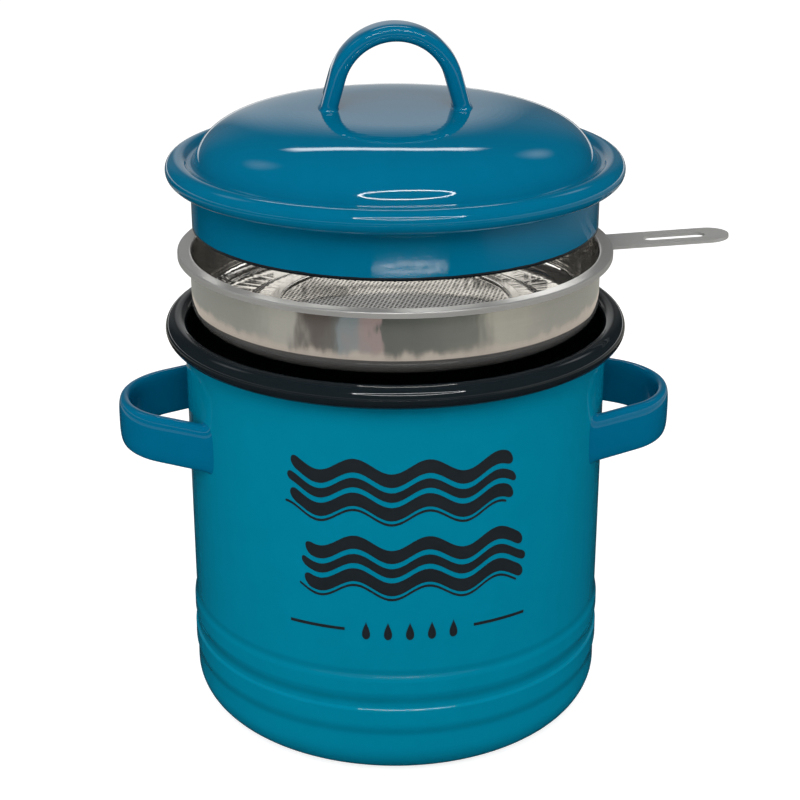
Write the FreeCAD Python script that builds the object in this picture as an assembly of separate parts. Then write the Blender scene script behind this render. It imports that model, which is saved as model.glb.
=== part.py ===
# Enamelled grease keeper: a steel pot with two side handles, a lift-out strainer and a domed lid.
# Millimetres. The origin is the centre of the pot's flat base, +Z is up and the side handles lie along X.
# The strainer and the lid are drawn raised above their seats, as they are lifted out one after the other.
import FreeCAD
import Part
import math
import os

V = FreeCAD.Vector
UP = V(0, 0, 1)
ORIGIN = V(0, 0, 0)

# Pot body
body_radius = 62.5
pot_height = 123.5
sheet = 0.8
coat = 0.3
base_corner_radius = 10.3
base_groove_inset = 22.5
base_groove_width = 5.0
base_groove_slope = 1.0
base_groove_depth = 0.8

# Pressed ridges round the foot of the body, counted up from the base
ridge_heights = [14.6, 26.0, 36.4]
ridge_bulges = [0.40, 0.45, 0.70]
foot_swell = 0.45
notch_swell = [0.42, 0.12, 0.0]

# Curled rim
rim_roll_radius = 3.0
rim_curl_end_angle = -126.0

# Side handles
side_strap_height = 14.4
side_strap_thickness = 3.8
side_strap_centre_height = 91.0
side_reach = 20.8
side_bend_radius = 22.1
side_flank_angle = 60.0
side_foot_fillet = 2.0

# Rounding of the strap edges on all three handles, and how deep their feet are let in before the weld
strap_corner_radius = 1.5
strap_corner_limit = 0.45
foot_depth = 5.0

# Strainer pan
pan_sheet = 0.6
pan_depth = 19.6
pan_corner_radius = 4.0
pan_lip_radius = 1.0
pan_wall_clearance = 1.4
flange_overlap = 2.2
flange_edge_radius = 0.5
hem_thickness = 0.6
seat_clearance = 0.12
floor_step_inset = 15.4
floor_step_height = 0.8
floor_step_run = 1.0
drain_inset = 10.4

# Strainer disc and the ring that holds its edge
disc_thickness = 0.4
disc_lap = 2.4
disc_hole_radius = 1.0
disc_hole_pitch = 3.5
ring_lap = 1.8
ring_width = 3.2
ring_height = 1.2
ring_edge_radius = 0.4
ring_fit = 0.05

# Strainer handle
strip_width = 13.0
strip_thickness = 0.9
strip_reach = 35.4
strip_tilt = 3.0
strip_rim_clearance = 0.15
strip_notch_clearance = 0.4
tab_height = 7.4
slot_length = 18.4
slot_width = 4.8
slot_end_margin = 7.0

# Lid
lid_sheet = 0.9
lid_height = 19.7
brim_inset = 2.0
brim_roll_radius = 3.0
brim_groove_offset = 4.0
crown_margin = 1.5
crown_pull = 15.0
dome_foot_height = 5.5
dome_foot_angle = 64.0
dome_foot_pull = 12.3
brim_lip_width = 3.4

# Lid collar
collar_clearance = 0.4
collar_thickness = 0.9
collar_depth = 12.5
collar_flange_width = 2.2
collar_bend_radius = 0.5
lid_seat_gap = 0.1

# Lid handle
lid_strap_width = 13.0
lid_strap_thickness = 4.3
lid_arch_outer_radius = 19.6
lid_arch_rise = 4.3
lid_arch_lean = 16.0
lid_foot_fillet = 1.4

# How far each loose piece is drawn above its seat
strainer_raise = 18.25
lid_raise = 19.6

# Distance within which an edge counts as lying on a surface
touch_tolerance = 1e-4

# Sizes that follow from the ones above
base_groove_radius = body_radius - base_groove_inset
side_tip_radius = body_radius + side_reach
wall_inner_radius = body_radius - sheet
mouth_radius = wall_inner_radius - coat
roll_outer_radius = rim_roll_radius + coat
roll_centre_radius = wall_inner_radius + rim_roll_radius
roll_centre_height = pot_height - roll_outer_radius
rim_radius = roll_centre_radius + roll_outer_radius
pan_wall_radius = mouth_radius - pan_wall_clearance
pan_inner_radius = pan_wall_radius - pan_sheet
floor_step_radius = pan_inner_radius - floor_step_inset
drain_radius = floor_step_radius - drain_inset
disc_radius = drain_radius + disc_lap
ring_inner_radius = disc_radius - ring_lap
flange_radius = mouth_radius + flange_overlap
flange_seat_height = pot_height + strip_rim_clearance + strip_thickness + pan_sheet
flange_top = flange_seat_height + strainer_raise
collar_radius = pan_inner_radius - collar_clearance
collar_inner_radius = collar_radius - collar_thickness
lid_seat = flange_top + lid_seat_gap + lid_raise
brim_bottom = lid_seat + collar_thickness
brim_roll_height = brim_bottom + brim_roll_radius
brim_radius = rim_radius - brim_inset
brim_roll_centre = brim_radius - brim_roll_radius
dome_foot_radius = brim_roll_centre - brim_groove_offset
arch_lean = math.radians(lid_arch_lean)
arch_shoulder_height = lid_arch_rise + lid_arch_outer_radius * math.sin(arch_lean)
lid_foot_radius = lid_arch_outer_radius * math.cos(arch_lean) + arch_shoulder_height * math.tan(arch_lean)
crown_flat_radius = lid_foot_radius + lid_foot_fillet + crown_margin
crown_top = brim_bottom + lid_height


def rz(radius, height):
    """Point of a turned section: radius along X, height along Z."""
    return V(radius, 0, height)


def line(start, end):
    return Part.LineSegment(start, end).toShape()


def arc(start, middle, end):
    return Part.Arc(start, middle, end).toShape()


def on_circle(centre, radius, degrees):
    """Point of a circle in the section plane."""
    angle = math.radians(degrees)
    return V(centre.x + radius * math.cos(angle), 0, centre.z + radius * math.sin(angle))


def circle_arc(centre, radius, start_degrees, end_degrees):
    """Arc of a circle in the section plane between two angles."""
    middle = (start_degrees + end_degrees) / 2
    start_point = on_circle(centre, radius, start_degrees)
    end_point = on_circle(centre, radius, end_degrees)
    return arc(start_point, on_circle(centre, radius, middle), end_point)


def turned(edges):
    """Solid made by turning a closed section once about the Z axis."""
    wire = Part.Wire(Part.__sortEdges__(edges))
    return Part.Face(wire).revolve(ORIGIN, UP, 360)


def ring_between(inner_radius, outer_radius, bottom, top):
    """Plain ring with a square section."""
    height = top - bottom
    outer = Part.makeCylinder(outer_radius, height, V(0, 0, bottom))
    return outer.cut(Part.makeCylinder(inner_radius, height, V(0, 0, bottom)))


def wall_line(inset):
    """Body outline from the base centre up to the curl, moved inwards by an inset."""
    radius = body_radius - inset
    corner = base_corner_radius - inset
    foot = radius + foot_swell
    corner_centre = rz(foot - corner, base_corner_radius)
    half = base_groove_width / 2
    groove_top = inset + base_groove_depth
    base_points = [
        rz(0, inset),
        rz(base_groove_radius - half, inset),
        rz(base_groove_radius - half + base_groove_slope, groove_top),
        rz(base_groove_radius + half - base_groove_slope, groove_top),
        rz(base_groove_radius + half, inset),
        on_circle(corner_centre, corner, -90),
    ]
    edges = [line(start, end) for start, end in zip(base_points, base_points[1:])]
    edges.append(circle_arc(corner_centre, corner, -90, 0))
    last = rz(foot, base_corner_radius)
    for height, bulge, notch in zip(ridge_heights, ridge_bulges, notch_swell):
        top = rz(radius + notch, height)
        middle = rz((last.x + top.x) / 2 + bulge, (last.z + top.z) / 2)
        edges.append(arc(last, middle, top))
        last = top
    edges.append(line(last, rz(radius, roll_centre_height)))
    return edges


def make_pot_body():
    """Blue body: one drawn sheet with ridges at its foot and its mouth curled outwards."""
    roll_centre = rz(roll_centre_radius, roll_centre_height)
    curl_inner = rim_roll_radius - sheet
    outside = wall_line(0)
    inside = wall_line(sheet)
    end_angle = rim_curl_end_angle
    edges = outside + inside
    edges.append(line(rz(0, 0), rz(0, sheet)))
    edges.append(circle_arc(roll_centre, rim_roll_radius, 180, end_angle))
    edges.append(circle_arc(roll_centre, curl_inner, 180, end_angle))
    curl_end = on_circle(roll_centre, rim_roll_radius, end_angle)
    edges.append(line(on_circle(roll_centre, curl_inner, end_angle), curl_end))
    return turned(edges)


def make_pot_lining():
    """Black enamel coat: the whole inside of the pot, carried over the curled rim."""
    roll_centre = rz(roll_centre_radius, roll_centre_height)
    end_angle = rim_curl_end_angle
    edges = wall_line(sheet) + wall_line(sheet + coat)
    edges.append(line(rz(0, sheet), rz(0, sheet + coat)))
    edges.append(circle_arc(roll_centre, rim_roll_radius, 180, end_angle))
    edges.append(circle_arc(roll_centre, roll_outer_radius, 180, end_angle))
    inner_end = on_circle(roll_centre, rim_roll_radius, end_angle)
    outer_end = on_circle(roll_centre, roll_outer_radius, end_angle)
    edges.append(line(inner_end, outer_end))
    return turned(edges)


def strap_section(centre, out, across, thickness, width):
    """Flat strap section with rounded corners, as a wire."""
    corner = min(strap_corner_radius, thickness * strap_corner_limit)
    half_thick = thickness / 2
    half_wide = width / 2
    diagonal = corner * (1 - math.sqrt(0.5))

    def at(depth, side):
        return centre + out * depth + across * side

    edges = []
    for sign in (1, -1):
        outer_start = at(half_thick, sign * (half_wide - corner))
        outer_middle = at(half_thick - diagonal, sign * (half_wide - diagonal))
        outer_end = at(half_thick - corner, sign * half_wide)
        inner_start = at(corner - half_thick, sign * half_wide)
        inner_middle = at(diagonal - half_thick, sign * (half_wide - diagonal))
        inner_end = at(-half_thick, sign * (half_wide - corner))
        edges.append(arc(outer_start, outer_middle, outer_end))
        edges.append(line(outer_end, inner_start))
        edges.append(arc(inner_start, inner_middle, inner_end))
    far = half_wide - corner
    edges.append(line(at(half_thick, -far), at(half_thick, far)))
    edges.append(line(at(-half_thick, -far), at(-half_thick, far)))
    return Part.Wire(Part.__sortEdges__(edges))


def bent_strap(section_at, bend_centre, bend_axis, bend_start, bend_degrees, leg):
    """Strap of one bend between two equal straight legs, in three matching pieces."""
    start_section = Part.Face(section_at)
    bend = start_section.revolve(bend_centre, bend_axis, bend_degrees)
    first_leg = start_section.extrude(bend_start * -leg)
    end_section = start_section.copy()
    end_section.rotate(bend_centre, bend_axis, bend_degrees)
    turn = FreeCAD.Rotation(bend_axis, bend_degrees)
    second_leg = end_section.extrude(turn.multVec(bend_start) * leg)
    return bend.fuse([first_leg, second_leg]).removeSplitter()


def welded_foot(strap, carrier, fillet):
    """Strap whose feet run into the carrier's surface in a smooth weld, without the carrier."""
    joined = carrier.fuse(strap)
    seam = []
    for edge in joined.Edges:
        middle = edge.valueAt((edge.FirstParameter + edge.LastParameter) / 2)
        point = Part.Vertex(middle)
        on_carrier = any(face.distToShape(point)[0] < touch_tolerance for face in carrier.Faces)
        on_strap = strap.distToShape(point)[0] < touch_tolerance
        if on_carrier and on_strap:
            seam.append(edge)
    smoothed = joined.makeFillet(fillet, seam)
    return smoothed.cut(carrier)


def make_side_handle(side):
    """Strap bent to a D and welded to the body on one side, side is 1 or -1 along X."""
    centre_radius = side_tip_radius - side_strap_thickness / 2
    bend_centre = V(centre_radius - side_bend_radius, 0, side_strap_centre_height)
    start_angle = math.radians(-side_flank_angle)
    out = V(math.cos(start_angle), math.sin(start_angle), 0)
    along = V(-math.sin(start_angle), math.cos(start_angle), 0)
    centre = bend_centre + out * side_bend_radius
    section = strap_section(centre, out, UP, side_strap_thickness, side_strap_height)
    inward = centre.x * along.x + centre.y * along.y
    beyond = centre.x ** 2 + centre.y ** 2 - (body_radius - foot_depth) ** 2
    leg = inward - math.sqrt(inward ** 2 - beyond)
    strap = bent_strap(section, bend_centre, UP, along, 2 * side_flank_angle, leg)
    skin_bottom = side_strap_centre_height - side_strap_height
    skin = Part.makeCylinder(body_radius, 2 * side_strap_height, V(0, 0, skin_bottom))
    handle = welded_foot(strap, skin, side_foot_fillet)
    if side < 0:
        handle.rotate(ORIGIN, UP, 180)
    return handle


def pan_bowl():
    """Strainer pan turned from one sheet: flange, wall, rounded corner and stepped floor."""
    top = flange_top
    floor = top - pan_depth
    wall_in = pan_inner_radius
    wall_out = pan_wall_radius
    corner_out = pan_corner_radius + pan_sheet
    lip_centre = rz(wall_in + pan_lip_radius, top - pan_lip_radius)
    lip_under = pan_lip_radius - pan_sheet
    corner_centre = rz(wall_in - pan_corner_radius, floor + corner_out)
    edge_centre = rz(flange_radius - flange_edge_radius, top - flange_edge_radius)
    hem_bottom = hem_seat_height() + strainer_raise
    hem_inner = flange_radius - hem_thickness
    step_in = floor_step_radius - floor_step_run
    points_inside = [
        on_circle(corner_centre, pan_corner_radius, -90),
        rz(floor_step_radius, floor + pan_sheet),
        rz(step_in, floor + pan_sheet + floor_step_height),
        rz(drain_radius, floor + pan_sheet + floor_step_height),
        rz(drain_radius, floor + floor_step_height),
        rz(step_in, floor + floor_step_height),
        rz(floor_step_radius, floor),
        on_circle(corner_centre, corner_out, -90),
    ]
    edges = [circle_arc(corner_centre, pan_corner_radius, 0, -90)]
    for start, end in zip(points_inside, points_inside[1:]):
        edges.append(line(start, end))
    edges.append(circle_arc(corner_centre, corner_out, -90, 0))
    edges.append(line(rz(wall_out, corner_centre.z), on_circle(lip_centre, lip_under, 180)))
    edges.append(circle_arc(lip_centre, lip_under, 180, 90))
    edges.append(line(on_circle(lip_centre, lip_under, 90), rz(hem_inner, top - pan_sheet)))
    edges.append(line(rz(hem_inner, top - pan_sheet), rz(hem_inner, hem_bottom)))
    edges.append(line(rz(hem_inner, hem_bottom), rz(flange_radius, hem_bottom)))
    edges.append(line(rz(flange_radius, hem_bottom), on_circle(edge_centre, flange_edge_radius, 0)))
    edges.append(circle_arc(edge_centre, flange_edge_radius, 0, 90))
    edges.append(line(on_circle(edge_centre, flange_edge_radius, 90), rz(lip_centre.x, top)))
    edges.append(circle_arc(lip_centre, pan_lip_radius, 90, 180))
    edges.append(line(rz(wall_in, lip_centre.z), rz(wall_in, corner_centre.z)))
    return turned(edges)


def hem_seat_height():
    """Height of the hem's lower edge when it rests on the inner side of the curled rim."""
    run = roll_centre_radius - flange_radius
    rise = math.sqrt(roll_outer_radius ** 2 - run ** 2)
    return roll_centre_height + rise + seat_clearance


def make_strainer_pan():
    """Pan with a gap in its hem where the handle strip leaves."""
    gap_width = strip_width + 2 * strip_notch_clearance
    gap_start = pan_wall_radius + pan_sheet
    gap_bottom = flange_top - pan_sheet - pan_depth
    gap = Part.makeBox(flange_radius, gap_width, pan_depth, V(gap_start, -gap_width / 2, gap_bottom))
    return pan_bowl().cut(gap)


def disc_floor():
    """Height of the raised floor that carries the strainer disc."""
    return flange_top - pan_depth + pan_sheet + floor_step_height


def disc_holes():
    """Centres of the drilled holes, in rows set like a honeycomb."""
    centres = []
    reach = ring_inner_radius - 2 * disc_hole_radius
    row_step = disc_hole_pitch * math.sqrt(3) / 2
    rows = math.ceil(reach / row_step)
    for row in range(-rows, rows + 1):
        shift = disc_hole_pitch / 2 if row % 2 else 0
        for column in range(-rows, rows + 1):
            x = column * disc_hole_pitch + shift
            y = row * row_step
            if math.hypot(x, y) <= reach:
                centres.append(V(x, y, disc_floor()))
    return centres


def make_strainer_mesh():
    """Thin perforated disc, lying on the raised floor round the drain."""
    outline = Part.Wire(Part.makeCircle(disc_radius, V(0, 0, disc_floor())))
    holes = [Part.Wire(Part.makeCircle(disc_hole_radius, centre)) for centre in disc_holes()]
    face = Part.makeFace([outline] + holes, "Part::FaceMakerBullseye")
    return face.extrude(UP * disc_thickness)


def make_mesh_ring():
    """Pressed ring that laps over the disc's edge and down to the pan floor."""
    floor = disc_floor()
    over = floor + disc_thickness
    top = floor + ring_height
    outer = ring_inner_radius + ring_width
    inner_centre = rz(ring_inner_radius + ring_edge_radius, top - ring_edge_radius)
    outer_centre = rz(outer - ring_edge_radius, top - ring_edge_radius)
    edges = [
        line(rz(ring_inner_radius, over), rz(disc_radius + ring_fit, over)),
        line(rz(disc_radius + ring_fit, over), rz(disc_radius + ring_fit, floor)),
        line(rz(disc_radius + ring_fit, floor), rz(outer, floor)),
        line(rz(outer, floor), on_circle(outer_centre, ring_edge_radius, 0)),
        circle_arc(outer_centre, ring_edge_radius, 0, 90),
        line(on_circle(outer_centre, ring_edge_radius, 90), on_circle(inner_centre, ring_edge_radius, 90)),
        circle_arc(inner_centre, ring_edge_radius, 90, 180),
        line(on_circle(inner_centre, ring_edge_radius, 180), rz(ring_inner_radius, over)),
    ]
    return turned(edges)


def rounded_bar(start_x, end_x, width, bottom, thickness):
    """Flat bar along X with one square end and one fully rounded end."""
    half = width / 2
    corner_low = V(start_x, -half, bottom)
    corner_high = V(start_x, half, bottom)
    low = V(end_x - half, -half, bottom)
    high = V(end_x - half, half, bottom)
    edges = [
        line(corner_low, low),
        arc(low, V(end_x, 0, bottom), high),
        line(high, corner_high),
        line(corner_high, corner_low),
    ]
    return Part.Face(Part.Wire(edges)).extrude(UP * thickness)


def make_strainer_handle():
    """Flat slotted strip, bent down behind the flange into a tab welded to the pan wall."""
    strip_top = flange_top - pan_sheet
    strip_bottom = strip_top - strip_thickness
    tip = flange_radius + strip_reach
    outer_part = rounded_bar(flange_radius, tip, strip_width, strip_bottom, strip_thickness)
    slot_far = tip - slot_end_margin
    slot_near_centre = slot_far - slot_length + slot_width / 2
    slot = rounded_bar(slot_near_centre, slot_far, slot_width, strip_bottom, strip_thickness)
    near_end = Part.makeCylinder(slot_width / 2, strip_thickness, V(slot_near_centre, 0, strip_bottom))
    outer_part = outer_part.cut(slot.fuse(near_end))
    bend_edge = V(flange_radius, 0, strip_bottom)
    outer_part.rotate(bend_edge, V(0, 1, 0), -strip_tilt)
    tab_outer = pan_wall_radius + strip_thickness
    edge_y = -strip_width / 2
    inner_part = Part.makeBox(flange_radius, strip_width, strip_thickness, V(0, edge_y, strip_bottom))
    wedge_points = [
        V(flange_radius, edge_y, strip_bottom),
        V(flange_radius, edge_y, strip_top),
        outer_corner(strip_top),
        V(flange_radius, edge_y, strip_bottom),
    ]
    wedge = Part.Face(Part.makePolygon(wedge_points)).extrude(V(0, strip_width, 0))
    tab_bottom = strip_top - tab_height
    tab = ring_between(pan_wall_radius, tab_outer, tab_bottom, strip_top)
    tab = tab.common(Part.makeBox(tab_outer, strip_width, tab_height, V(0, edge_y, tab_bottom)))
    pan_space = Part.makeCylinder(pan_wall_radius, pan_depth, V(0, 0, flange_top - pan_depth))
    inner_part = inner_part.cut(pan_space)
    strip = tab.fuse([inner_part, wedge, outer_part]).removeSplitter()
    return strip.cut(make_strainer_pan())


def outer_corner(strip_top):
    """Upper corner of the tilted part of the strip at its bend."""
    angle = math.radians(strip_tilt)
    back = flange_radius - strip_thickness * math.sin(angle)
    return V(back, -strip_width / 2, strip_top - strip_thickness + strip_thickness * math.cos(angle))


def dome_foot(inset):
    """Foot of the dome, moved inwards by an inset, and the outward direction there."""
    angle = math.radians(dome_foot_angle)
    normal = V(math.sin(angle), 0, math.cos(angle))
    return rz(dome_foot_radius, brim_bottom + dome_foot_height) - normal * inset, normal


def dome_edges(inset):
    """Flat crown and rounded shoulder down to the dome's foot, moved inwards by an inset."""
    foot, normal = dome_foot(inset)
    downhill = V(normal.z, 0, -normal.x)
    top = crown_top - inset
    flat_end = rz(crown_flat_radius, top)
    shoulder = Part.BezierCurve()
    shoulder.setPoles([flat_end, flat_end + V(crown_pull, 0, 0), foot - downhill * dome_foot_pull, foot])
    return [line(rz(0, top), flat_end), shoulder.toShape()]


def cove_circle():
    """Circle of the groove round the dome, touching the dome's foot and the brim's roll."""
    foot, normal = dome_foot(0)
    roll = rz(brim_roll_centre, brim_roll_height)
    away = foot - roll
    reach = away.dot(away) - brim_roll_radius ** 2
    radius = reach / (2 * (brim_roll_radius - away.dot(normal)))
    return foot + normal * radius, radius


def brim_edges(inset):
    """Groove and rolled brim, from the dome's foot round to the brim's underside."""
    centre, radius = cove_circle()
    roll = rz(brim_roll_centre, brim_roll_height)
    toward = centre - roll
    touch_angle = math.degrees(math.atan2(toward.z, toward.x))
    start_angle = 270 - dome_foot_angle
    groove = circle_arc(centre, radius + inset, start_angle, touch_angle + 180)
    bead = circle_arc(roll, brim_roll_radius - inset, touch_angle, -90)
    return [groove, bead]


def make_lid_shell():
    """Blue lid: a flat-topped dome, a groove and a brim rolled back under itself."""
    edges = dome_edges(0) + dome_edges(lid_sheet)
    edges += brim_edges(0) + brim_edges(lid_sheet)
    lip_inner = brim_roll_centre - brim_lip_width
    low = brim_bottom
    high = brim_bottom + lid_sheet
    edges.append(line(rz(0, crown_top), rz(0, crown_top - lid_sheet)))
    edges.append(line(rz(brim_roll_centre, low), rz(lip_inner, low)))
    edges.append(line(rz(lip_inner, low), rz(lip_inner, high)))
    edges.append(line(rz(lip_inner, high), rz(brim_roll_centre, high)))
    return turned(edges)


def make_lid_collar():
    """Plain ring under the lid that plugs the strainer, flanged out to meet the brim."""
    bottom = lid_seat - collar_depth
    flange_edge = collar_radius + collar_flange_width
    bend_out = collar_bend_radius
    bend_in = collar_bend_radius + collar_thickness
    bend_centre = rz(collar_radius + bend_out, lid_seat - bend_out)
    edges = [
        line(rz(collar_inner_radius, bottom), rz(collar_radius, bottom)),
        line(rz(collar_radius, bottom), rz(collar_radius, bend_centre.z)),
        circle_arc(bend_centre, bend_out, 180, 90),
        line(rz(bend_centre.x, lid_seat), rz(flange_edge, lid_seat)),
        line(rz(flange_edge, lid_seat), rz(flange_edge, brim_bottom)),
        line(rz(flange_edge, brim_bottom), rz(bend_centre.x, brim_bottom)),
        circle_arc(bend_centre, bend_in, 90, 180),
        line(rz(collar_inner_radius, bend_centre.z), rz(collar_inner_radius, bottom)),
    ]
    return turned(edges)


def make_lid_lining():
    """Black enamel coat under the dome and inside the collar, turned round its lower edge."""
    outer_end = dome_foot(lid_sheet)[0]
    inner_end = dome_foot(lid_sheet + coat)[0]
    bottom = lid_seat - collar_depth
    band_bottom = bottom - coat
    inside = collar_inner_radius - coat
    edges = dome_edges(lid_sheet) + dome_edges(lid_sheet + coat)
    edges.append(line(rz(0, crown_top - lid_sheet), rz(0, crown_top - lid_sheet - coat)))
    edges.append(line(outer_end, rz(collar_inner_radius, brim_bottom)))
    edges.append(line(rz(collar_inner_radius, brim_bottom), rz(collar_inner_radius, bottom)))
    edges.append(line(rz(collar_inner_radius, bottom), rz(collar_radius, bottom)))
    edges.append(line(rz(collar_radius, bottom), rz(collar_radius, band_bottom)))
    edges.append(line(rz(collar_radius, band_bottom), rz(inside, band_bottom)))
    edges.append(line(rz(inside, band_bottom), rz(inside, brim_bottom)))
    edges.append(line(rz(inside, brim_bottom), inner_end))
    return turned(edges)


def make_lid_handle():
    """Strap arched over the lid, its legs leaning outwards, and welded to the crown."""
    centre_radius = lid_arch_outer_radius - lid_strap_thickness / 2
    bend_centre = rz(0, crown_top + lid_arch_rise)
    out = V(math.cos(arch_lean), 0, math.sin(arch_lean))
    along = V(-math.sin(arch_lean), 0, math.cos(arch_lean))
    centre = bend_centre + out * centre_radius
    section = strap_section(centre, out, V(0, 1, 0), lid_strap_thickness, lid_strap_width)
    leg = arch_shoulder_height / math.cos(arch_lean) + lid_strap_thickness
    strap = bent_strap(section, bend_centre, V(0, -1, 0), along, 180 - 2 * lid_arch_lean, leg)
    crown_depth = 2 * leg
    crown = Part.makeCylinder(crown_flat_radius, crown_depth, V(0, 0, crown_top - crown_depth))
    return welded_foot(strap, crown, lid_foot_fillet)


def build_all():
    """Every piece under its own name."""
    return {
        "pot_body": make_pot_body(),
        "pot_lining": make_pot_lining(),
        "side_handle_right": make_side_handle(1),
        "side_handle_left": make_side_handle(-1),
        "strainer_pan": make_strainer_pan(),
        "strainer_mesh": make_strainer_mesh(),
        "mesh_ring": make_mesh_ring(),
        "strainer_handle": make_strainer_handle(),
        "lid_shell": make_lid_shell(),
        "lid_collar": make_lid_collar(),
        "lid_lining": make_lid_lining(),
        "lid_handle": make_lid_handle(),
    }


os.makedirs("parts", exist_ok=True)
for name, shape in build_all().items():
    shape.exportStep("parts/" + name + ".step")
    box = shape.BoundBox
    low = [round(v, 2) for v in (box.XMin, box.YMin, box.ZMin)]
    high = [round(v, 2) for v in (box.XMax, box.YMax, box.ZMax)]
    print(name, "solids", len(shape.Solids), "valid", shape.isValid(), round(shape.Volume, 1), low, high)
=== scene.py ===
"""Looks for an enamelled grease keeper: a pot, a lift-out strainer and a domed lid.

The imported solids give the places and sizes. Turned pieces are drawn again here as fine lathe meshes,
and every surface gets its fired enamel, printed, or drawn steel finish.
Outlines are in millimetres and are turned into metres when a mesh is made.
"""

import math

import bmesh
import bpy
from bpy.props import FloatProperty, FloatVectorProperty, IntProperty, PointerProperty
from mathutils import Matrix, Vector
from mathutils.geometry import delaunay_2d_cdt


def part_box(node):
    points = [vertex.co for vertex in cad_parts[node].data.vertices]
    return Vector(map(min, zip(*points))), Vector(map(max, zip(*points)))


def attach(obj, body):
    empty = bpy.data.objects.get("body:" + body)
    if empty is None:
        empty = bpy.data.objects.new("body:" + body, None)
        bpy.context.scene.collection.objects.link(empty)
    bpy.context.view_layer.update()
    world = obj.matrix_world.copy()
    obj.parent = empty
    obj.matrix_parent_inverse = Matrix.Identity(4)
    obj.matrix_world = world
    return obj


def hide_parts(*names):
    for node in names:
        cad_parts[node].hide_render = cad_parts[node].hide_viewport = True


bl_info = {
    "name": "Grease Keeper Looks",
    "version": (1, 0, 0),
    "blender": (4, 5, 0),
    "location": "View3D > Sidebar > Keeper",
    "description": "Dresses an enamelled grease keeper with its strainer and lid",
    "category": "Object",
}

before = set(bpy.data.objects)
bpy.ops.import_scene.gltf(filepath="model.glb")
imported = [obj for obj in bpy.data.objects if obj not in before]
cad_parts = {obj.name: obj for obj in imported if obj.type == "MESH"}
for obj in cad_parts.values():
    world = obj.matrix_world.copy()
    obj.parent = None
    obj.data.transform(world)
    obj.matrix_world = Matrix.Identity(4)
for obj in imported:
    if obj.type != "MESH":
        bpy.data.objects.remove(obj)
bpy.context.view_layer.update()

MM = 0.001

# Pot, in millimetres
body_radius = 62.5
sheet = 0.8
coat = 0.3
base_corner = 10.3
base_groove_radius = 40.0
base_groove_half = 2.5
base_groove_slope = 1.0
base_groove_depth = 0.8
foot_swell = 0.30
low_ridge = (14.6, 18.8, 23.0, 23.9)
low_ridge_rise = 0.55
high_ridge = (26.1, 29.2, 32.2, 36.0)
high_ridge_rise = 0.58
# Painted shade: bands round the wall, darker at each crease of the ridges: height and reach in millimetres,
# and how much darker
painted_crease_shade = (
    (high_ridge[-1] - 0.8, 1.8, 0.20),
    (low_ridge[-1] + 2.2, 1.8, 0.24),
    (low_ridge[0] + 1.5, 2.2, 0.14),
)
roll_radius = 3.0
curl_end = -126.0
pot_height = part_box("pot_lining")[1].z / MM

# Strainer, in millimetres
pan_wall_radius = 60.0
pan_sheet = 0.6
pan_corner = 4.0
pan_lip = 1.0
flange_radius = 63.6
flange_edge = 0.5
hem_drop = 1.72
hem_gap_half = 6.9
step_radius = 44.0
step_run = 1.0
step_height = 0.8
drain_radius = 33.6
ring_inner_radius = 34.2
ring_width = 3.2
ring_edge = 0.4
disc_radius = 36.0
pan_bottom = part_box("strainer_pan")[0].z / MM
pan_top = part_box("strainer_pan")[1].z / MM
disc_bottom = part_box("strainer_mesh")[0].z / MM
disc_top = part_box("strainer_mesh")[1].z / MM
ring_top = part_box("mesh_ring")[1].z / MM

# Lid, in millimetres
lid_sheet = 0.9
bead_radius = 3.4
bead_centre = 62.6
dome_foot_radius = 57.5
dome_foot_height = 6.3
dome_foot_angle = 72.0
dome_foot_pull = 9.5
crown_flat = 23.5
crown_pull = 19.6
brim_lip = 3.0
collar_radius = 59.0
collar_sheet = 0.9
collar_bend = 0.5
collar_flange = 2.2
brim_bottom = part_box("lid_shell")[0].z / MM
crown_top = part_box("lid_shell")[1].z / MM
collar_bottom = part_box("lid_collar")[0].z / MM
collar_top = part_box("lid_collar")[1].z / MM

# Handles, in millimetres and degrees
side_handle_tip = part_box("side_handle_right")[1].x / MM
side_handle_middle = (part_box("side_handle_right")[0].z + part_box("side_handle_right")[1].z) / 2 / MM
side_bend_radius = 22.1
side_bend_reach = 60.0
side_half_thickness = 1.9
side_half_width = 7.2
side_flare = 2.0
lid_handle_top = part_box("lid_handle")[1].z / MM
lid_bend_radius = 17.1
lid_bend_reach = 74.0
lid_half_thickness = 2.5
lid_half_width = 6.5
lid_flare = 1.4

# Print, in metres
print_rows = ((0.0920, 0.0), (0.0690, 0.0040))
ribbons = ((0.0050, 0.0020, 0.0012), (0.0, 0.0014, 0.0), (-0.0050, 0.0020, 0.0008))
ribbon_wave = 0.0205
ribbon_crest = 0.0021
underline_drop = 0.0082
underline_half = 0.00035
drop_pitch = 0.0062
drop_height = 0.0487
rule_start = 0.0185
rule_height = 0.0488
rule_half = 0.00045

# Finishes
enamel_ior = 1.42
ink_ior = 1.45
blue_mottle = 0.12
black_mottle = 0.25
disc_turn = 15.0

# Stage pieces that only show in reflections, in metres
stage_middle = (0, 0, 0.12)
tent_radius = 4.0
tent_glow = 0.02
mat_radius = 1.6
mat_glow = 0.012
bounce_height = 0.1495
bounce_radius = 0.0585
frame_light_place = (0.05, -0.775, 0.869)


def srgb(red, green, blue):
    """Linear colour of a screen colour given as 0 to 255."""
    def linear(value):
        share = value / 255
        return share / 12.92 if share <= 0.04045 else ((share + 0.055) / 1.055) ** 2.4
    return linear(red), linear(green), linear(blue)


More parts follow.
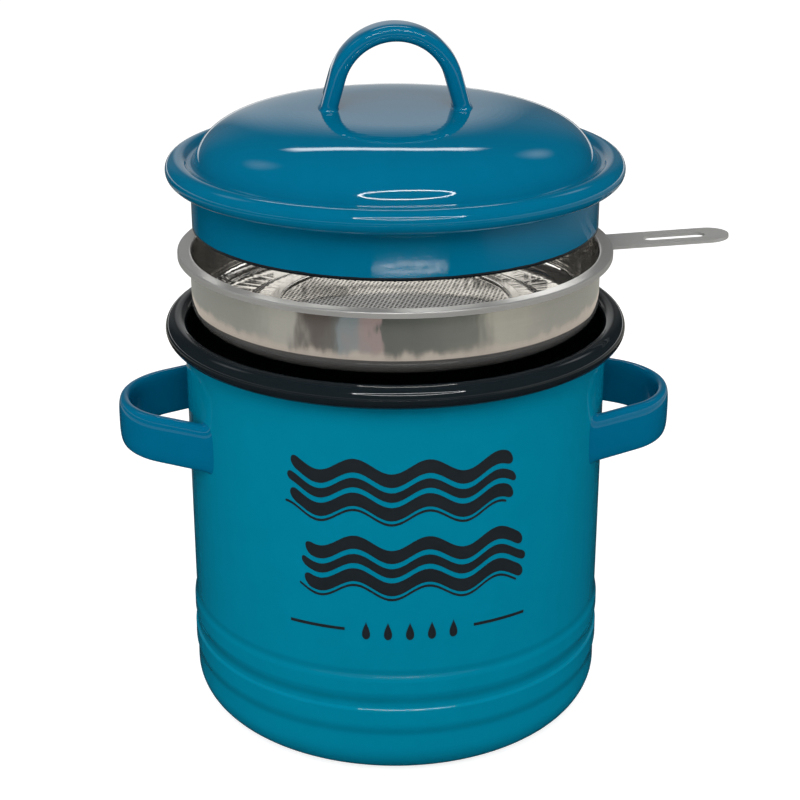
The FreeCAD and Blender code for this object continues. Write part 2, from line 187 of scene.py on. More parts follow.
class KeeperEnamel(bpy.types.PropertyGroup):
    blue: FloatVectorProperty(
        name="Pot blue", description="Colour of the pot's outer enamel", subtype="COLOR", size=3,
        min=0, max=1, default=srgb(0, 123, 151),
    )
    # Painted shade: the pot's blue darkened for the lid and collar, standing in for less light on them
    lid_shaded_blue: FloatVectorProperty(
        name="Lid blue", description="Colour of the lid's outer enamel", subtype="COLOR", size=3,
        min=0, max=1, default=srgb(0, 100, 133),
    )
    # Painted shade: the pot's blue darkened for the handles
    handle_shaded_blue: FloatVectorProperty(
        name="Handle blue", description="Colour of the handles' enamel", subtype="COLOR", size=3,
        min=0, max=1, default=srgb(0, 99, 134),
    )
    black: FloatVectorProperty(
        name="Black", description="Colour of the enamel inside and on the rim", subtype="COLOR",
        size=3, min=0, max=1, default=srgb(22, 29, 33),
    )
    swell: FloatProperty(
        name="Swell", description="Height of the slow waves in the fired surface",
        default=0.00003, unit="LENGTH",
    )
    grain: FloatProperty(
        name="Grain", description="Height of the orange peel in the fired surface",
        default=0.0000012, unit="LENGTH",
    )
    roughness: FloatProperty(
        name="Roughness", description="Roughness of the glassy surface", subtype="FACTOR",
        min=0, max=1, default=0.045,
    )


class KeeperSteel(bpy.types.PropertyGroup):
    bright: FloatVectorProperty(
        name="Bright steel", description="Colour of the polished pan", subtype="COLOR", size=3,
        min=0, max=1, default=srgb(206, 204, 200),
    )
    satin: FloatVectorProperty(
        name="Satin steel", description="Colour of the strip handle", subtype="COLOR", size=3,
        min=0, max=1, default=srgb(178, 177, 174),
    )
    hole_pitch: FloatProperty(
        name="Hole pitch", description="Distance between the disc's holes",
        default=0.00141, unit="LENGTH",
    )
    hole_radius: FloatProperty(
        name="Hole radius", description="Radius of the disc's holes",
        default=0.00042, unit="LENGTH",
    )


class KeeperPrint(bpy.types.PropertyGroup):
    ink: FloatVectorProperty(
        name="Ink", description="Colour of the printed ornament", subtype="COLOR", size=3,
        min=0, max=1, default=srgb(30, 36, 40),
    )
    width: FloatProperty(
        name="Width", description="Width of the printed ornament along the wall",
        default=0.070, unit="LENGTH",
    )
    thickness: FloatProperty(
        name="Thickness", description="Thickness of the ink over the enamel",
        default=0.00008, unit="LENGTH",
    )


class KeeperStage(bpy.types.PropertyGroup):
    segments: IntProperty(
        name="Segments", description="Steps round each turned piece", default=256, min=32,
    )
    camera_distance: FloatProperty(
        name="Camera distance", description="From the pot's axis to the camera, level",
        default=0.49138, unit="LENGTH",
    )
    camera_height: FloatProperty(
        name="Camera height", description="Above the floor", default=0.28912, unit="LENGTH",
    )
    camera_pitch: FloatProperty(
        name="Camera pitch", description="Turn below the level line", subtype="ANGLE",
        default=math.radians(21.686),
    )
    camera_azimuth: FloatProperty(
        name="Camera azimuth", description="Turn round the pot", subtype="ANGLE",
        default=math.radians(-3.7),
    )
    camera_aim: FloatProperty(
        name="Camera aim", description="Turn of the camera to the right of the axis",
        subtype="ANGLE", default=math.radians(0.16),
    )
    camera_lens: FloatProperty(
        name="Camera lens", description="Focal length in millimetres", default=78.28,
    )
    fill: FloatProperty(
        name="Fill", description="Strength of the even light from all round", default=0.50,
    )
    key: FloatProperty(
        name="Key", description="Power of the lamp above and in front", default=9.5, subtype="POWER",
    )
    side: FloatProperty(
        name="Side", description="Power of each side lamp", default=3.6, subtype="POWER",
    )


def arc_points(centre, radius, start, end, steps=10):
    """Points of an arc round a centre, angles in degrees."""
    points = []
    for step in range(steps + 1):
        angle = math.radians(start + (end - start) * step / steps)
        points.append((centre[0] + radius * math.cos(angle), centre[1] + radius * math.sin(angle)))
    return points


def eased(value, low, high):
    """Smooth step from 0 at low to 1 at high."""
    share = min(max((value - low) / (high - low), 0.0), 1.0)
    return share * share * (3 - 2 * share)


def wall_swell(height):
    """How far the wall stands out at a height: it widens to its foot and carries two ridges."""
    top = high_ridge[-1]
    swell = foot_swell * (top - height) / (top - base_corner)
    for (start, full, over, end), rise in ((low_ridge, low_ridge_rise), (high_ridge, high_ridge_rise)):
        swell += rise * min(eased(height, start, full), 1 - eased(height, over, end))
    return swell


def bezier_points(a, b, c, d, steps=28):
    """Points of a cubic Bezier curve."""
    points = []
    for step in range(steps + 1):
        t = step / steps
        weights = ((1 - t) ** 3, 3 * t * (1 - t) ** 2, 3 * t * t * (1 - t), t ** 3)
        points.append(tuple(sum(w * p[k] for w, p in zip(weights, (a, b, c, d))) for k in (0, 1)))
    return points


def softened(points, passes):
    """Points with their creases eased, the two ends kept."""
    for _ in range(passes):
        inner = [
            tuple((p[k] + 2 * q[k] + r[k]) / 4 for k in (0, 1))
            for p, q, r in zip(points, points[1:], points[2:])
        ]
        points = [points[0]] + inner + [points[-1]]
    return points


def without_repeats(points):
    """The closed outline with points dropped where they repeat."""
    kept = []
    for point in points:
        if not kept or math.dist(point, kept[-1]) > 1e-6:
            kept.append(point)
    if math.dist(kept[0], kept[-1]) < 1e-6:
        kept.pop()
    return kept


def with_support(points, near=0.25, longest=1.5):
    """The closed outline with points beside the ends of long straight runs, so that they shade flat."""
    supported = []
    for start, end in zip(points, points[1:] + points[:1]):
        supported.append(start)
        length = math.dist(start, end)
        if length < longest:
            continue
        for share in (near / length, 1 - near / length):
            point = tuple(a + (b - a) * share for a, b in zip(start, end))
            if point[0] > 1:
                supported.append(point)
    return supported


def turn_outline(mesh, points, segments, start=0.0, end=360.0):
    """Adds a closed outline, turned about Z between two angles, to a bmesh."""
    points = with_support(without_repeats(points))
    full = end - start >= 360
    steps = segments if full else max(4, int(segments * (end - start) / 360))
    columns = []
    for radius, height in points:
        if radius < 1e-6:
            columns.append([mesh.verts.new((0, 0, height * MM))])
            continue
        ring = []
        for step in range(steps if full else steps + 1):
            angle = math.radians(start + (end - start) * step / steps)
            ring.append(mesh.verts.new(
                (radius * MM * math.cos(angle), radius * MM * math.sin(angle), height * MM)
            ))
        columns.append(ring)
    for low, high in zip(columns, columns[1:] + columns[:1]):
        if len(low) == 1 and len(high) == 1:
            continue
        for step in range(steps):
            after = (step + 1) % steps if full else step + 1
            if len(low) == 1:
                mesh.faces.new((low[0], high[after], high[step]))
            elif len(high) == 1:
                mesh.faces.new((low[step], low[after], high[0]))
            else:
                mesh.faces.new((low[step], low[after], high[after], high[step]))
    if not full:
        mesh.faces.new([ring[0] for ring in columns])
        mesh.faces.new([ring[-1] for ring in reversed(columns)])


def finish_mesh(name, mesh, body, sharp=32):
    """Object made of a bmesh, smooth up to an angle, riding on a body."""
    bmesh.ops.recalc_face_normals(mesh, faces=mesh.faces)
    data = bpy.data.meshes.new(name)
    mesh.to_mesh(data)
    mesh.free()
    data.polygons.foreach_set("use_smooth", [True] * len(data.polygons))
    data.set_sharp_from_angle(angle=math.radians(sharp))
    piece = bpy.data.objects.new(name, data)
    bpy.context.scene.collection.objects.link(piece)
    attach(piece, body)
    return piece


def turned_piece(name, outlines, body, node):
    """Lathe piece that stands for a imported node."""
    mesh = bmesh.new()
    for outline in outlines:
        turn_outline(mesh, *outline)
    piece = finish_mesh(name, mesh, body)
    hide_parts(node)
    return piece


def wall_points(inset):
    """Pot outline from the base centre to the curl, moved inwards by an inset."""
    radius = body_radius - inset
    corner = base_corner - inset
    foot = radius + foot_swell
    groove_top = inset + base_groove_depth
    inner = base_groove_radius - base_groove_half
    outer = base_groove_radius + base_groove_half
    base = [
        (0, inset), (inner, inset), (inner + base_groove_slope, groove_top),
        (outer - base_groove_slope, groove_top), (outer, inset),
    ]
    corner_arc = arc_points((foot - corner, base_corner), corner, -90, 0, 16)
    steps = 100
    heights = [base_corner + (high_ridge[-1] - base_corner) * step / steps for step in range(1, steps + 1)]
    ridges = [(radius + wall_swell(height), height) for height in heights]
    top = (radius, pot_height - roll_radius - coat)
    return base + corner_arc + ridges + [top]


def roll_arc(radius, start, end):
    """Arc of the curled rim."""
    centre = (body_radius - sheet + roll_radius, pot_height - roll_radius - coat)
    return arc_points(centre, radius, start, end, 44)


def pot_body_outline():
    """Drawn sheet with its ridges and its mouth curled outwards."""
    outer = wall_points(0) + roll_arc(roll_radius - sheet, 180, curl_end)
    return outer + roll_arc(roll_radius, curl_end, 180) + wall_points(sheet)[::-1]


def pot_lining_outline():
    """Black coat inside the pot and over the curled rim."""
    under = wall_points(sheet) + roll_arc(roll_radius, 180, curl_end)
    return under + roll_arc(roll_radius + coat, curl_end, 180) + wall_points(sheet + coat)[::-1]


def pan_outline():
    """Strainer pan: flange, lip, wall, rounded corner, stepped floor."""
    inner = pan_wall_radius - pan_sheet
    floor = pan_bottom
    outer_corner = pan_corner + pan_sheet
    corner_centre = (inner - pan_corner, floor + outer_corner)
    lip_centre = (inner + pan_lip, pan_top - pan_lip)
    edge_centre = (flange_radius - flange_edge, pan_top - flange_edge)
    step_in = step_radius - step_run
    points = arc_points(corner_centre, pan_corner, 0, -90, 12)
    points += softened([
        (step_radius + 1.5, floor + pan_sheet), (step_radius + 0.5, floor + pan_sheet),
        (step_radius, floor + pan_sheet), (step_in, floor + pan_sheet + step_height),
        (step_in - 0.5, floor + pan_sheet + step_height),
        (step_in - 1.5, floor + pan_sheet + step_height),
    ], 1)
    points += [
        (drain_radius, floor + pan_sheet + step_height), (drain_radius, floor + step_height),
        (step_in, floor + step_height), (step_radius, floor),
    ]
    points += arc_points(corner_centre, outer_corner, -90, 0, 14)
    points += arc_points(lip_centre, pan_lip - pan_sheet, 180, 90, 6)
    points += [(flange_radius, pan_top - pan_sheet)]
    points += arc_points(edge_centre, flange_edge, 0, 90, 6)
    points += arc_points(lip_centre, pan_lip, 90, 180, 10)
    return points


def hem_outline():
    """Edge of the flange turned down towards the pot's rim."""
    inside = flange_radius - pan_sheet
    under = pan_top - pan_sheet
    return [(inside, under), (flange_radius, under), (flange_radius, pan_top - hem_drop),
            (inside, pan_top - hem_drop)]


def ring_outline():
    """Pressed ring that laps over the disc's edge."""
    outer = ring_inner_radius + ring_width
    fit = disc_radius + 0.05
    edge_height = ring_top - ring_edge
    points = [(ring_inner_radius, disc_top), (fit, disc_top), (fit, disc_bottom), (outer, disc_bottom)]
    points += arc_points((outer - ring_edge, edge_height), ring_edge, 0, 90, 6)
    return points + arc_points((ring_inner_radius + ring_edge, edge_height), ring_edge, 90, 180, 6)


def dome_points(inset):
    """Crown and shoulder of the lid down to the dome's foot, moved inwards by an inset."""
    angle = math.radians(dome_foot_angle)
    normal = (math.sin(angle), math.cos(angle))
    foot = (dome_foot_radius - normal[0] * inset, brim_bottom + dome_foot_height - normal[1] * inset)
    top = crown_top - inset
    before = (foot[0] - normal[1] * dome_foot_pull, foot[1] + normal[0] * dome_foot_pull)
    flat = [(0, top), (crown_flat / 2, top)]
    return flat + bezier_points((crown_flat, top), (crown_flat + crown_pull, top), before, foot)


def brim_points(inset):
    """Groove and rolled bead from the dome's foot to the brim's underside."""
    angle = math.radians(dome_foot_angle)
    normal = (math.sin(angle), math.cos(angle))
    foot = (dome_foot_radius, brim_bottom + dome_foot_height)
    bead = (bead_centre, brim_bottom + bead_radius)
    away = (foot[0] - bead[0], foot[1] - bead[1])
    reach = away[0] ** 2 + away[1] ** 2 - bead_radius ** 2
    radius = reach / (2 * (bead_radius - away[0] * normal[0] - away[1] * normal[1]))
    centre = (foot[0] + normal[0] * radius, foot[1] + normal[1] * radius)
    touch = math.degrees(math.atan2(centre[1] - bead[1], centre[0] - bead[0]))
    groove = arc_points(centre, radius + inset, 270 - dome_foot_angle, touch + 180, 14)
    return groove + arc_points(bead, bead_radius - inset, touch, -90, 30)


def lid_shell_outline():
    """Domed lid with a groove and a brim rolled back under itself."""
    lip = bead_centre - brim_lip
    high = brim_bottom + lid_sheet
    points = dome_points(0) + brim_points(0)
    points += [(lip, brim_bottom), (lip, high)]
    return points + brim_points(lid_sheet)[::-1] + dome_points(lid_sheet)[::-1]


def lid_collar_outline():
    """Plain ring under the lid, flanged out to meet the brim."""
    inner = collar_radius - collar_sheet
    seat = collar_top - collar_sheet
    bend_centre = (collar_radius + collar_bend, seat - collar_bend)
    edge = 0.25
    points = [(inner, collar_bottom)]
    points += arc_points((collar_radius - edge, collar_bottom + edge), edge, -90, 0, 4)
    points += arc_points(bend_centre, collar_bend, 180, 90, 6)
    points += [(collar_radius + collar_flange, seat), (collar_radius + collar_flange, collar_top)]
    return points + arc_points(bend_centre, collar_bend + collar_sheet, 90, 180, 8)


def lid_lining_outline():
    """Black coat under the dome and inside the collar, turned round its lower edge."""
    inner = collar_radius - collar_sheet
    inside = inner - coat
    low = collar_bottom - coat
    points = dome_points(lid_sheet) + [(inner, collar_top), (inner, collar_bottom)]
    points += [(collar_radius, collar_bottom)]
    points += arc_points((collar_radius - coat, collar_bottom), coat, 0, -90, 4)
    points += [(inside, low), (inside, collar_top)]
    return points + dome_points(lid_sheet + coat)[::-1]


def strap_offsets(half_thickness, half_width, count=44, power=3.4):
    """Rounded strap section as offsets outwards and across."""
    offsets = []
    for step in range(count):
        angle = 2 * math.pi * step / count
        out, across = math.cos(angle), math.sin(angle)
        offsets.append((
            half_thickness * math.copysign(abs(out) ** (2 / power), out),
            half_width * math.copysign(abs(across) ** (2 / power), across),
        ))
    return offsets


def way_to_wall(point, along):
    """Distance to the middle of the pot's sheet."""
    target = body_radius - sheet / 2
    a = along.x ** 2 + along.y ** 2
    b = point.x * along.x + point.y * along.y
    c = point.x ** 2 + point.y ** 2 - target ** 2
    return (-b - math.sqrt(b * b - a * c)) / a


def way_to_crown(point, along):
    """Distance to the middle of the lid's sheet."""
    return (crown_top - lid_sheet / 2 - point.z) / along.z


def strap_handle(name, centre, outward, onward, radius, reach, half_sizes, flare, way_to, body, node):
    """Bent strap: an arc between two legs, each flared into the sheet that it is welded to."""
    across = outward.cross(onward).normalized()
    offsets = strap_offsets(*half_sizes)
    bend_steps, leg_steps = 56, 10

    def flared(offset, growth):
        size = max(math.hypot(offset[0] / half_sizes[0], offset[1] / half_sizes[1]), 1e-6)
        return (
            offset[0] + growth * offset[0] / half_sizes[0] / size,
            offset[1] + growth * offset[1] / half_sizes[1] / size,
        )

    def bend_ring(angle):
        normal = outward * math.cos(angle) + onward * math.sin(angle)
        return [centre + normal * (radius + out) + across * side for out, side in offsets]

    def leg_rings(sign):
        angle = sign * math.radians(reach)
        normal = outward * math.cos(angle) + onward * math.sin(angle)
        along = outward * -math.sin(abs(angle)) + onward * (sign * math.cos(angle))
        rings = []
        for step in range(leg_steps + 1):
            left = (1 - step / leg_steps) ** 2
            ring = []
            for offset in offsets:
                start = centre + normal * (radius + offset[0]) + across * offset[1]
                near = left * way_to(start, along)
                rise = min(near / flare, 1.0)
                out, side = flared(offset, flare * (1 - math.sqrt(1 - (1 - rise) ** 2)))
                foot = centre + normal * (radius + out) + across * side
                ring.append(foot + along * (way_to(foot, along) - near))
            rings.append(ring)
        return rings

    rings = leg_rings(-1)[::-1]
    for step in range(1, bend_steps):
        rings.append(bend_ring(math.radians(reach) * (2 * step / bend_steps - 1)))
    rings += leg_rings(1)
    mesh = bmesh.new()
    rows = [[mesh.verts.new(point * MM) for point in ring] for ring in rings]
    for row, after in zip(rows, rows[1:]):
        for k in range(len(offsets)):
            k_next = (k + 1) % len(offsets)
            mesh.faces.new((row[k], row[k_next], after[k_next], after[k]))
    mesh.faces.new(rows[0])
    mesh.faces.new(rows[-1][::-1])
    piece = finish_mesh(name, mesh, body, 60)
    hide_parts(node)
    return piece


def side_handle(side, word):
    """Loop handle on one side of the pot."""
    away = side_handle_tip - side_half_thickness - side_bend_radius
    centre = Vector((side * away, 0, side_handle_middle))
    return strap_handle(
        "side_handle_" + word + "_enamel", centre, Vector((side, 0, 0)), Vector((0, 1, 0)),
        side_bend_radius, side_bend_reach, (side_half_thickness, side_half_width), side_flare,
        way_to_wall, "pot", "side_handle_" + word,
    )


def arched_handle():
    """Arch over the crown of the lid."""
    centre = Vector((0, 0, lid_handle_top - lid_half_thickness - lid_bend_radius))
    return strap_handle(
        "lid_handle_enamel", centre, Vector((0, 0, 1)), Vector((1, 0, 0)), lid_bend_radius,
        lid_bend_reach, (lid_half_thickness, lid_half_width), lid_flare, way_to_crown, "lid", "lid_handle",
    )


def perforated_disc(pitch, hole, body):
    """Thin disc with real holes in a honeycomb turned a little off the strainer's axis."""
    turn = math.radians(disc_turn)
    sides = 10
    limit = ring_inner_radius * MM - hole - 0.0006
    rows = math.ceil(limit / (pitch * math.sqrt(3) / 2))
    centres = []
    for row in range(-rows, rows + 1):
        for column in range(-rows, rows + 1):
            across = (column + (0.5 if row % 2 else 0)) * pitch
            up = row * pitch * math.sqrt(3) / 2
            if math.hypot(across, up) < limit:
                x = across * math.cos(turn) - up * math.sin(turn)
                y = across * math.sin(turn) + up * math.cos(turn)
                centres.append((x, y))
    points, edges, hole_of = [], [], []
    loops = [((0, 0), disc_radius * MM, 128)] + [(centre, hole, sides) for centre in centres]
    for number, (centre, radius, count) in enumerate(loops):
        first = len(points)
        for step in range(count):
            angle = 2 * math.pi * step / count
            points.append(Vector((
                centre[0] + radius * math.cos(angle), centre[1] + radius * math.sin(angle)
            )))
            edges.append((first + step, first + (step + 1) % count))
            hole_of.append(number)
    flat, _, faces, origin, _, _ = delaunay_2d_cdt(points, edges, [], 1, 1e-9)
    owner = [hole_of[source[0]] for source in origin]
    mesh = bmesh.new()
    top = [mesh.verts.new((p.x, p.y, disc_top * MM)) for p in flat]
    low = [mesh.verts.new((p.x, p.y, disc_bottom * MM)) for p in flat]
    for face in faces:
        owners = {owner[index] for index in face}
        if len(owners) == 1 and owners != {0}:
            continue
        mesh.faces.new([top[index] for index in face])
        mesh.faces.new([low[index] for index in reversed(face)])
    place = {source[0]: index for index, source in enumerate(origin)}
    for start, end in edges:
        a, b = place[start], place[end]
        mesh.faces.new((top[a], low[a], low[b], top[b]))
    piece = finish_mesh("perforated_disc", mesh, body)
    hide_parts("strainer_mesh")
    return piece


def on_wall(along, height, lift):
    """Point of the pot's front wall, a length round it from the middle and a height up it."""
    radius = body_radius * MM + lift
    angle = along / (body_radius * MM)
    return radius * math.sin(angle), -radius * math.cos(angle), height


def ink_patch(mesh, loops, thickness):
    """Closed film of ink between rows of paired points, each a (left, right) point of the wall."""
    rows = []
    for left, right in loops:
        rows.append([
            mesh.verts.new(on_wall(*left, thickness)), mesh.verts.new(on_wall(*right, thickness)),
            mesh.verts.new(on_wall(*right, -thickness)), mesh.verts.new(on_wall(*left, -thickness)),
        ])
    for a, b in zip(rows, rows[1:]):
        for k in range(4):
            mesh.faces.new((a[k], a[(k + 1) % 4], b[(k + 1) % 4], b[k]))
    mesh.faces.new(rows[0])
    mesh.faces.new(rows[-1][::-1])


def wave(along, length, height):
    """Height of a wavy line at a distance along it."""
    return height * math.sin(2 * math.pi * along / length)


def ink_ribbon(mesh, start, end, middle, half_width, crest, thickness):
    """Wavy ribbon of ink with rounded ends."""
    steps = 96
    loops = []
    for step in range(steps + 1):
        t = step / steps
        along = start + (end - start) * (0.5 - 0.5 * math.cos(math.pi * t))
        near_end = min(along - start, end - along)
        share = min(1.0, near_end / half_width)
        half = max(half_width * math.sqrt(max(1 - (1 - share) ** 2, 0)), half_width * 0.04)
        centre = middle + wave(along, ribbon_wave, crest)
        loops.append(((along, centre + half), (along, centre - half)))
    ink_patch(mesh, loops, thickness)


def ink_drop(mesh, along, middle, half_width, half_height, thickness):
    """Teardrop of ink with its point upwards."""
    steps = 24
    loops = []
    for step in range(steps + 1):
        t = math.pi * step / steps
        height = middle + half_height * math.cos(t)
        half = max(half_width * math.sin(t) * math.sin(t / 2) ** 1.4, half_width * 0.03)
        loops.append(((along - half, height), (along + half, height)))
    ink_patch(mesh, loops, thickness)


def printed_ornament(width, thickness):
    """Two wavy rashers with an offset underline each, over rules and drops."""
    mesh = bmesh.new()
    half = width / 2
    for middle, slide in print_rows:
        start, end = -half + slide, half - 0.0040 + slide
        for offset, half_width, inset in ribbons:
            ink_ribbon(
                mesh, start + inset, end - inset, middle + offset, half_width, ribbon_crest, thickness
            )
        ink_ribbon(
            mesh, start - 0.0008, end - 0.0030, middle - underline_drop, underline_half,
            ribbon_crest, thickness,
        )
    for number in range(-2, 3):
        ink_drop(mesh, number * drop_pitch, drop_height, 0.0016, 0.0027, thickness)
    top, low = rule_height + rule_half, rule_height - rule_half
    for side in (-1, 1):
        start, end = sorted((side * rule_start, side * half))
        along = [start + (end - start) * step / 16 for step in range(17)]
        ink_patch(mesh, [((x, top), (x, low)) for x in along], thickness)
    return finish_mesh("printed_ornament", mesh, "pot")


def node_group(name, inputs, outputs):
    """Empty shader group with its sockets and its two end nodes."""
    tree = bpy.data.node_groups.new(name, "ShaderNodeTree")
    for title, kind, value in inputs:
        socket = tree.interface.new_socket(title, in_out="INPUT", socket_type=kind)
        socket.default_value = value
    for title, kind in outputs:
        tree.interface.new_socket(title, in_out="OUTPUT", socket_type=kind)
    return tree, tree.nodes.new("NodeGroupInput"), tree.nodes.new("NodeGroupOutput")


def maths(tree, operation, first, second=None, third=None):
    """Output of a Math node fed by sockets or numbers."""
    node = tree.nodes.new("ShaderNodeMath")
    node.operation = operation
    for slot, value in enumerate((first, second, third)):
        if value is None:
            continue
        if isinstance(value, bpy.types.NodeSocket):
            tree.links.new(value, node.inputs[slot])
        else:
            node.inputs[slot].default_value = value
    return node.outputs[0]


def noise(tree, vector, scale, detail=2.0, roughness=0.5):
    """Output of a Noise Texture at a scale."""
    node = tree.nodes.new("ShaderNodeTexNoise")
    node.inputs["Scale"].default_value = scale
    node.inputs["Detail"].default_value = detail
    node.inputs["Roughness"].default_value = roughness
    tree.links.new(vector, node.inputs["Vector"])
    return node.outputs["Fac"]


def scaled_colour(tree, colour, factor):
    """Colour times a number."""
    node = tree.nodes.new("ShaderNodeVectorMath")
    node.operation = "SCALE"
    tree.links.new(colour, node.inputs[0])
    tree.links.new(factor, node.inputs["Scale"])
    return node.outputs[0]


def object_point(tree):
    """The piece's own coordinates."""
    return tree.nodes.new("ShaderNodeTexCoord").outputs["Object"]


def make_enamel_group():
    """Fired enamel: slow swell, orange peel, faint mottle and pinholes."""
    tree, ends, out = node_group(
        "fired_enamel",
        (("Colour", "NodeSocketColor", (0.5, 0.5, 0.5, 1)), ("Mottle", "NodeSocketFloat", 0.1),
         ("Swell", "NodeSocketFloat", 0.00003), ("Grain", "NodeSocketFloat", 0.000001),
         ("Roughness", "NodeSocketFloat", 0.08)),
        (("Colour", "NodeSocketColor"), ("Roughness", "NodeSocketFloat"), ("Height", "NodeSocketFloat")),
    )
    point = object_point(tree)
    slow = noise(tree, point, 55, 1.0)
    peel = noise(tree, point, 420, 2.0)
    fine = noise(tree, point, 2600, 2.0)
    cloud = noise(tree, point, 120, 4.0, 0.6)
    mottle = maths(tree, "MULTIPLY_ADD", maths(tree, "SUBTRACT", cloud, 0.5), ends.outputs["Mottle"], 1.0)
    pinhole = maths(tree, "GREATER_THAN", fine, 0.80)
    colour_share = maths(tree, "SUBTRACT", mottle, maths(tree, "MULTIPLY", pinhole, 0.25))
    tree.links.new(scaled_colour(tree, ends.outputs["Colour"], colour_share), out.inputs["Colour"])
    rough = maths(tree, "MULTIPLY_ADD", maths(tree, "SUBTRACT", peel, 0.5), 0.05, ends.outputs["Roughness"])
    tree.links.new(rough, out.inputs["Roughness"])
    swell = maths(tree, "MULTIPLY", slow, ends.outputs["Swell"])
    grain = maths(tree, "MULTIPLY", peel, ends.outputs["Grain"])
    tree.links.new(maths(tree, "ADD", swell, grain), out.inputs["Height"])
    return tree


def make_round_group():
    """Coordinates that run round the axis, for marks left by turning and drawing."""
    tree, ends, out = node_group(
        "round_the_axis",
        (("Around", "NodeSocketFloat", 4.0), ("Across", "NodeSocketFloat", 1000.0)),
        (("Vector", "NodeSocketVector"),),
    )
    split = tree.nodes.new("ShaderNodeSeparateXYZ")
    tree.links.new(object_point(tree), split.inputs[0])
    x, y, z = split.outputs
    squares = maths(tree, "ADD", maths(tree, "MULTIPLY", x, x), maths(tree, "MULTIPLY", y, y))
    radius = maths(tree, "SQRT", maths(tree, "ADD", squares, 1e-9))
    join = tree.nodes.new("ShaderNodeCombineXYZ")
    for axis, value in enumerate((x, y)):
        share = maths(tree, "DIVIDE", value, radius)
        tree.links.new(maths(tree, "MULTIPLY", share, ends.outputs["Around"]), join.inputs[axis])
    across = maths(tree, "MULTIPLY", maths(tree, "ADD", z, radius), ends.outputs["Across"])
    tree.links.new(across, join.inputs[2])
    tree.links.new(join.outputs[0], out.inputs["Vector"])
    return tree


def make_steel_group():
    """Drawn steel: fine lines along one way, soft dents along another, and light smears."""
    tree, ends, out = node_group(
        "drawn_steel",
        (("Colour", "NodeSocketColor", (0.6, 0.6, 0.6, 1)), ("Lines", "NodeSocketVector", (0, 0, 0)),
         ("Dents", "NodeSocketVector", (0, 0, 0)), ("Line height", "NodeSocketFloat", 0.0000004),
         ("Dent height", "NodeSocketFloat", 0.00002), ("Roughness", "NodeSocketFloat", 0.15)),
        (("Colour", "NodeSocketColor"), ("Roughness", "NodeSocketFloat"), ("Height", "NodeSocketFloat")),
    )
    lines = noise(tree, ends.outputs["Lines"], 1.0, 3.0, 0.65)
    dents = noise(tree, ends.outputs["Dents"], 1.0, 1.5)
    smear = noise(tree, object_point(tree), 70, 3.0, 0.6)
    share = maths(tree, "MULTIPLY_ADD", maths(tree, "SUBTRACT", lines, 0.5), 0.14, 1.0)
    tree.links.new(scaled_colour(tree, ends.outputs["Colour"], share), out.inputs["Colour"])
    rough = maths(tree, "MULTIPLY_ADD", maths(tree, "SUBTRACT", smear, 0.5), 0.10, ends.outputs["Roughness"])
    tree.links.new(rough, out.inputs["Roughness"])
    line_height = maths(tree, "MULTIPLY", lines, ends.outputs["Line height"])
    dent_height = maths(tree, "MULTIPLY", dents, ends.outputs["Dent height"])
    tree.links.new(maths(tree, "ADD", line_height, dent_height), out.inputs["Height"])
    return tree


def group_node(tree, name, **values):
    """Placed group with its own values; underscores in a name stand for spaces."""
    node = tree.nodes.new("ShaderNodeGroup")
    node.node_tree = bpy.data.node_groups[name]
    for title, value in values.items():
        socket = node.inputs[title.replace("_", " ")]
        if isinstance(value, bpy.types.NodeSocket):
            tree.links.new(value, socket)
        else:
            socket.default_value = value
    return node


def new_material(name):
    """Material with a plain shader, and its tree and shader node."""
    material = bpy.data.materials.new(name)
    material.use_nodes = True
    tree = material.node_tree
    return material, tree, tree.nodes["Principled BSDF"]


def connect_skin(tree, shader, skin, colour=None):
    """Feeds a group's colour, roughness and height to the shader."""
    tree.links.new(colour or skin.outputs["Colour"], shader.inputs["Base Color"])
    tree.links.new(skin.outputs["Roughness"], shader.inputs["Roughness"])
    bump = tree.nodes.new("ShaderNodeBump")
    bump.inputs["Strength"].default_value = 1.0
    bump.inputs["Distance"].default_value = 1.0
    tree.links.new(skin.outputs["Height"], bump.inputs["Height"])
    tree.links.new(bump.outputs[0], shader.inputs["Normal"])


def enamel_material(name, colour, mottle, settings, creases=()):
    """Glossy enamel fired on steel, with painted shade: darker in bands at the creases round the wall.

    Each crease is its height and reach in millimetres and how much darker it gets.
    """
    material, tree, shader = new_material(name)
    skin = group_node(
        tree, "fired_enamel", Colour=(*colour, 1), Mottle=mottle, Swell=settings.swell,
        Grain=settings.grain, Roughness=settings.roughness,
    )
    crease_shaded_colour = None
    # Painted shade: each crease darkens the colour in a band round the wall
    if creases:
        split = tree.nodes.new("ShaderNodeSeparateXYZ")
        tree.links.new(object_point(tree), split.inputs[0])
        share = None
        for height, reach, depth in creases:
            off = maths(tree, "ABSOLUTE", maths(tree, "SUBTRACT", split.outputs[2], height * MM))
            kept = map_range(tree, off, 0.0, reach * MM, 1 - depth, 1.0)
            share = kept if share is None else maths(tree, "MULTIPLY", share, kept)
        crease_shaded_colour = scaled_colour(tree, skin.outputs["Colour"], share)
    connect_skin(tree, shader, skin, crease_shaded_colour)
    shader.inputs["IOR"].default_value = enamel_ior
    return material


